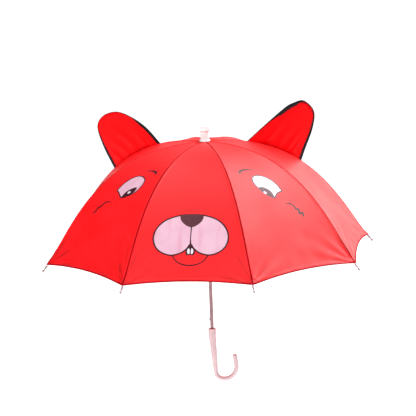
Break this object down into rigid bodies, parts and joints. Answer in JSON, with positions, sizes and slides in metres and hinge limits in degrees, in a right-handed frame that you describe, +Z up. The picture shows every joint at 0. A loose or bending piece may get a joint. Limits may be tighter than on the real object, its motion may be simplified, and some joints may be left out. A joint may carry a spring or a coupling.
{
  "type": "children's umbrella",
  "caption": "Open child's umbrella with a scalloped domed cloth canopy, animal face and ears, ribs that fold with a sliding runner, and a hook handle.",
  "frame": {"origin": "on the shaft's axis at the middle of the grip, where a hand holds it", "axes": "+Z up the shaft towards the ferrule, -Y the front of the canopy with the face, +X the side the hook points to"},
  "size_m": [0.707, 0.707, 0.6265],
  "materials": {
    "red_polyester": "satin polyester canopy cloth",
    "ear_red": "satin polyester, deeper red",
    "black_lining": "black polyester",
    "white_plastic": "glossy moulded, faint pink cast",
    "notch_plastic": "moulded nylon",
    "rib_steel": "nickel plated channel",
    "shaft_steel": "bright plated tube",
    "spring_steel": "blued spring steel",
    "snap_plastic": "press stud"
  },
  "bodies": {
    "stick": {"shaft_tube": "shaft_steel", "shaft_pins": "rib_steel", "handle": "white_plastic", "handle_collar": "white_plastic", "ferrule_cap": "white_plastic", "crown_washer": "white_plastic", "top_notch": "notch_plastic", "notch_wire": "rib_steel"},
    "inner_1": {"rib_1": "rib_steel"},
    "outer_1": {"rib_outer_1": "rib_steel", "rib_tip_1": "white_plastic", "canopy_gore_1": "red_polyester"},
    "strut_1": {"stretcher_1": "rib_steel"},
    "inner_2": {"rib_2": "rib_steel"},
    "outer_2": {"rib_outer_2": "rib_steel", "rib_tip_2": "white_plastic", "canopy_gore_2": "red_polyester"},
    "strut_2": {"stretcher_2": "rib_steel"},
    "inner_3": {"rib_3": "rib_steel"},
    "outer_3": {"rib_outer_3": "rib_steel", "rib_tip_3": "white_plastic", "canopy_gore_3": "red_polyester"},
    "strut_3": {"stretcher_3": "rib_steel"},
    "inner_4": {"rib_4": "rib_steel", "ear_right_front": "ear_red", "ear_right_back": "black_lining", "ear_right_binding": "black_lining"},
    "outer_4": {"rib_outer_4": "rib_steel", "rib_tip_4": "white_plastic", "canopy_gore_4": "red_polyester"},
    "strut_4": {"stretcher_4": "rib_steel"},
    "inner_5": {"rib_5": "rib_steel"},
    "outer_5": {"rib_outer_5": "rib_steel", "rib_tip_5": "white_plastic", "canopy_gore_5": "red_polyester", "tie_strap": "red_polyester", "strap_snap": "snap_plastic"},
    "strut_5": {"stretcher_5": "rib_steel"},
    "inner_6": {"rib_6": "rib_steel"},
    "outer_6": {"rib_outer_6": "rib_steel", "rib_tip_6": "white_plastic", "canopy_gore_6": "red_polyester"},
    "strut_6": {"stretcher_6": "rib_steel"},
    "inner_7": {"rib_7": "rib_steel", "ear_left_front": "ear_red", "ear_left_back": "black_lining", "ear_left_binding": "black_lining"},
    "outer_7": {"rib_outer_7": "rib_steel", "rib_tip_7": "white_plastic", "canopy_gore_7": "red_polyester"},
    "strut_7": {"stretcher_7": "rib_steel"},
    "inner_8": {"rib_8": "rib_steel"},
    "outer_8": {"rib_outer_8": "rib_steel", "rib_tip_8": "white_plastic", "canopy_gore_8": "red_polyester"},
    "strut_8": {"stretcher_8": "rib_steel"},
    "slider": {"runner": "white_plastic", "runner_wire": "rib_steel"},
    "upper_catch": {"top_catch": "spring_steel"},
    "bottom_catch": {"lower_catch": "spring_steel"}
  },
  "joints": [
    {"name": "rib_1_fold", "type": "hinge", "parent": "stick", "child": "inner_1", "pos_m": [-0.00306, -0.00739, 0.4615], "axis": [0.9239, -0.3827, 0], "range_deg": [0, 74.33]},
    {"name": "rib_1_flex", "type": "hinge", "parent": "inner_1", "child": "outer_1", "pos_m": [-0.07356, -0.1776, 0.41838], "axis": [0.9239, -0.3827, 0], "range_deg": [-34.88, 0], "deforming": ["canopy_gore_1"]},
    {"name": "stretcher_1_swing", "type": "hinge", "parent": "inner_1", "child": "strut_1", "pos_m": [-0.07356, -0.1776, 0.41838], "axis": [0.9239, -0.3827, 0], "range_deg": [-148.71, 0]},
    {"name": "rib_2_fold", "type": "hinge", "parent": "stick", "child": "inner_2", "pos_m": [0.00306, -0.00739, 0.4615], "axis": [0.9239, 0.3827, 0], "range_deg": [0, 74.38]},
    {"name": "rib_2_flex", "type": "hinge", "parent": "inner_2", "child": "outer_2", "pos_m": [0.07356, -0.1776, 0.41838], "axis": [0.9239, 0.3827, 0], "range_deg": [-34.88, 0], "deforming": ["canopy_gore_2"]},
    {"name": "stretcher_2_swing", "type": "hinge", "parent": "inner_2", "child": "strut_2", "pos_m": [0.07356, -0.1776, 0.41838], "axis": [0.9239, 0.3827, 0], "range_deg": [-148.71, 0]},
    {"name": "rib_3_fold", "type": "hinge", "parent": "stick", "child": "inner_3", "pos_m": [0.00739, -0.00306, 0.4615], "axis": [0.3827, 0.9239, 0], "range_deg": [0, 74.38]},
    {"name": "rib_3_flex", "type": "hinge", "parent": "inner_3", "child": "outer_3", "pos_m": [0.1776, -0.07356, 0.41838], "axis": [0.3827, 0.9239, 0], "range_deg": [-34.88, 0], "deforming": ["canopy_gore_3"]},
    {"name": "stretcher_3_swing", "type": "hinge", "parent": "inner_3", "child": "strut_3", "pos_m": [0.1776, -0.07356, 0.41838], "axis": [0.3827, 0.9239, 0], "range_deg": [-148.71, 0]},
    {"name": "rib_4_fold", "type": "hinge", "parent": "stick", "child": "inner_4", "pos_m": [0.00739, 0.00306, 0.4615], "axis": [-0.3827, 0.9239, 0], "range_deg": [0, 74.38], "deforming": ["ear_right_front", "ear_right_back", "ear_right_binding"]},
    {"name": "rib_4_flex", "type": "hinge", "parent": "inner_4", "child": "outer_4", "pos_m": [0.1776, 0.07356, 0.41838], "axis": [-0.3827, 0.9239, 0], "range_deg": [-34.88, 0], "deforming": ["canopy_gore_4"]},
    {"name": "stretcher_4_swing", "type": "hinge", "parent": "inner_4", "child": "strut_4", "pos_m": [0.1776, 0.07356, 0.41838], "axis": [-0.3827, 0.9239, 0], "range_deg": [-148.71, 0]},
    {"name": "rib_5_fold", "type": "hinge", "parent": "stick", "child": "inner_5", "pos_m": [0.00306, 0.00739, 0.4615], "axis": [-0.9239, 0.3827, 0], "range_deg": [0, 74.38]},
    {"name": "rib_5_flex", "type": "hinge", "parent": "inner_5", "child": "outer_5", "pos_m": [0.07356, 0.1776, 0.41838], "axis": [-0.9239, 0.3827, 0], "range_deg": [-34.88, 0], "deforming": ["canopy_gore_5", "tie_strap", "strap_snap"]},
    {"name": "stretcher_5_swing", "type": "hinge", "parent": "inner_5", "child": "strut_5", "pos_m": [0.07356, 0.1776, 0.41838], "axis": [-0.9239, 0.3827, 0], "range_deg": [-148.71, 0]},
    {"name": "rib_6_fold", "type": "hinge", "parent": "stick", "child": "inner_6", "pos_m": [-0.00306, 0.00739, 0.4615], "axis": [-0.9239, -0.3827, 0], "range_deg": [0, 74.38]},
    {"name": "rib_6_flex", "type": "hinge", "parent": "inner_6", "child": "outer_6", "pos_m": [-0.07356, 0.1776, 0.41838], "axis": [-0.9239, -0.3827, 0], "range_deg": [-34.88, 0], "deforming": ["canopy_gore_6"]},
    {"name": "stretcher_6_swing", "type": "hinge", "parent": "inner_6", "child": "strut_6", "pos_m": [-0.07356, 0.1776, 0.41838], "axis": [-0.9239, -0.3827, 0], "range_deg": [-148.71, 0]},
    {"name": "rib_7_fold", "type": "hinge", "parent": "stick", "child": "inner_7", "pos_m": [-0.00739, 0.00306, 0.4615], "axis": [-0.3827, -0.9239, 0], "range_deg": [0, 74.38], "deforming": ["ear_left_front", "ear_left_back", "ear_left_binding"]},
    {"name": "rib_7_flex", "type": "hinge", "parent": "inner_7", "child": "outer_7", "pos_m": [-0.1776, 0.07356, 0.41838], "axis": [-0.3827, -0.9239, 0], "range_deg": [-34.88, 0], "deforming": ["canopy_gore_7"]},
    {"name": "stretcher_7_swing", "type": "hinge", "parent": "inner_7", "child": "strut_7", "pos_m": [-0.1776, 0.07356, 0.41838], "axis": [-0.3827, -0.9239, 0], "range_deg": [-148.71, 0]},
    {"name": "rib_8_fold", "type": "hinge", "parent": "stick", "child": "inner_8", "pos_m": [-0.00739, -0.00306, 0.4615], "axis": [0.3827, -0.9239, 0], "range_deg": [0, 74.38]},
    {"name": "rib_8_flex", "type": "hinge", "parent": "inner_8", "child": "outer_8", "pos_m": [-0.1776, -0.07356, 0.41838], "axis": [0.3827, -0.9239, 0], "range_deg": [-34.88, 0], "deforming": ["canopy_gore_8"]},
    {"name": "stretcher_8_swing", "type": "hinge", "parent": "inner_8", "child": "strut_8", "pos_m": [-0.1776, -0.07356, 0.41838], "axis": [0.3827, -0.9239, 0], "range_deg": [-148.71, 0]},
    {"name": "runner_ride", "type": "hinge", "parent": "strut_1", "child": "slider", "pos_m": [-0.00306, -0.00739, 0.37527], "axis": [0.9239, -0.3827, 0], "range_deg": [0, 74.38]},
    {"name": "top_catch_press", "type": "hinge", "parent": "stick", "child": "upper_catch", "pos_m": [-0.0006, 0, 0.32277], "axis": [0, 1, 0], "range_deg": [0, 9], "stiffness_Nm_per_rad": 0.02},
    {"name": "lower_catch_press", "type": "hinge", "parent": "stick", "child": "bottom_catch", "pos_m": [-0.0006, 0, 0.075], "axis": [0, -1, 0], "range_deg": [0, 9], "stiffness_Nm_per_rad": 0.02}
  ],
  "couplings": [
    {"joint": "rib_1_flex", "follows": "rib_1_fold", "ratio": -0.4686},
    {"joint": "stretcher_1_swing", "follows": "rib_1_fold", "ratio": -2},
    {"joint": "rib_2_fold", "follows": "rib_1_fold", "ratio": 1},
    {"joint": "rib_2_flex", "follows": "rib_1_fold", "ratio": -0.4686},
    {"joint": "stretcher_2_swing", "follows": "rib_1_fold", "ratio": -2},
    {"joint": "rib_3_fold", "follows": "rib_1_fold", "ratio": 1},
    {"joint": "rib_3_flex", "follows": "rib_1_fold", "ratio": -0.4686},
    {"joint": "stretcher_3_swing", "follows": "rib_1_fold", "ratio": -2},
    {"joint": "rib_4_fold", "follows": "rib_1_fold", "ratio": 1},
    {"joint": "rib_4_flex", "follows": "rib_1_fold", "ratio": -0.4686},
    {"joint": "stretcher_4_swing", "follows": "rib_1_fold", "ratio": -2},
    {"joint": "rib_5_fold", "follows": "rib_1_fold", "ratio": 1},
    {"joint": "rib_5_flex", "follows": "rib_1_fold", "ratio": -0.4686},
    {"joint": "stretcher_5_swing", "follows": "rib_1_fold", "ratio": -2},
    {"joint": "rib_6_fold", "follows": "rib_1_fold", "ratio": 1},
    {"joint": "rib_6_flex", "follows": "rib_1_fold", "ratio": -0.4686},
    {"joint": "stretcher_6_swing", "follows": "rib_1_fold", "ratio": -2},
    {"joint": "rib_7_fold", "follows": "rib_1_fold", "ratio": 1},
    {"joint": "rib_7_flex", "follows": "rib_1_fold", "ratio": -0.4686},
    {"joint": "stretcher_7_swing", "follows": "rib_1_fold", "ratio": -2},
    {"joint": "rib_8_fold", "follows": "rib_1_fold", "ratio": 1},
    {"joint": "rib_8_flex", "follows": "rib_1_fold", "ratio": -0.4686},
    {"joint": "stretcher_8_swing", "follows": "rib_1_fold", "ratio": -2},
    {"joint": "runner_ride", "follows": "rib_1_fold", "ratio": 1}
  ]
}
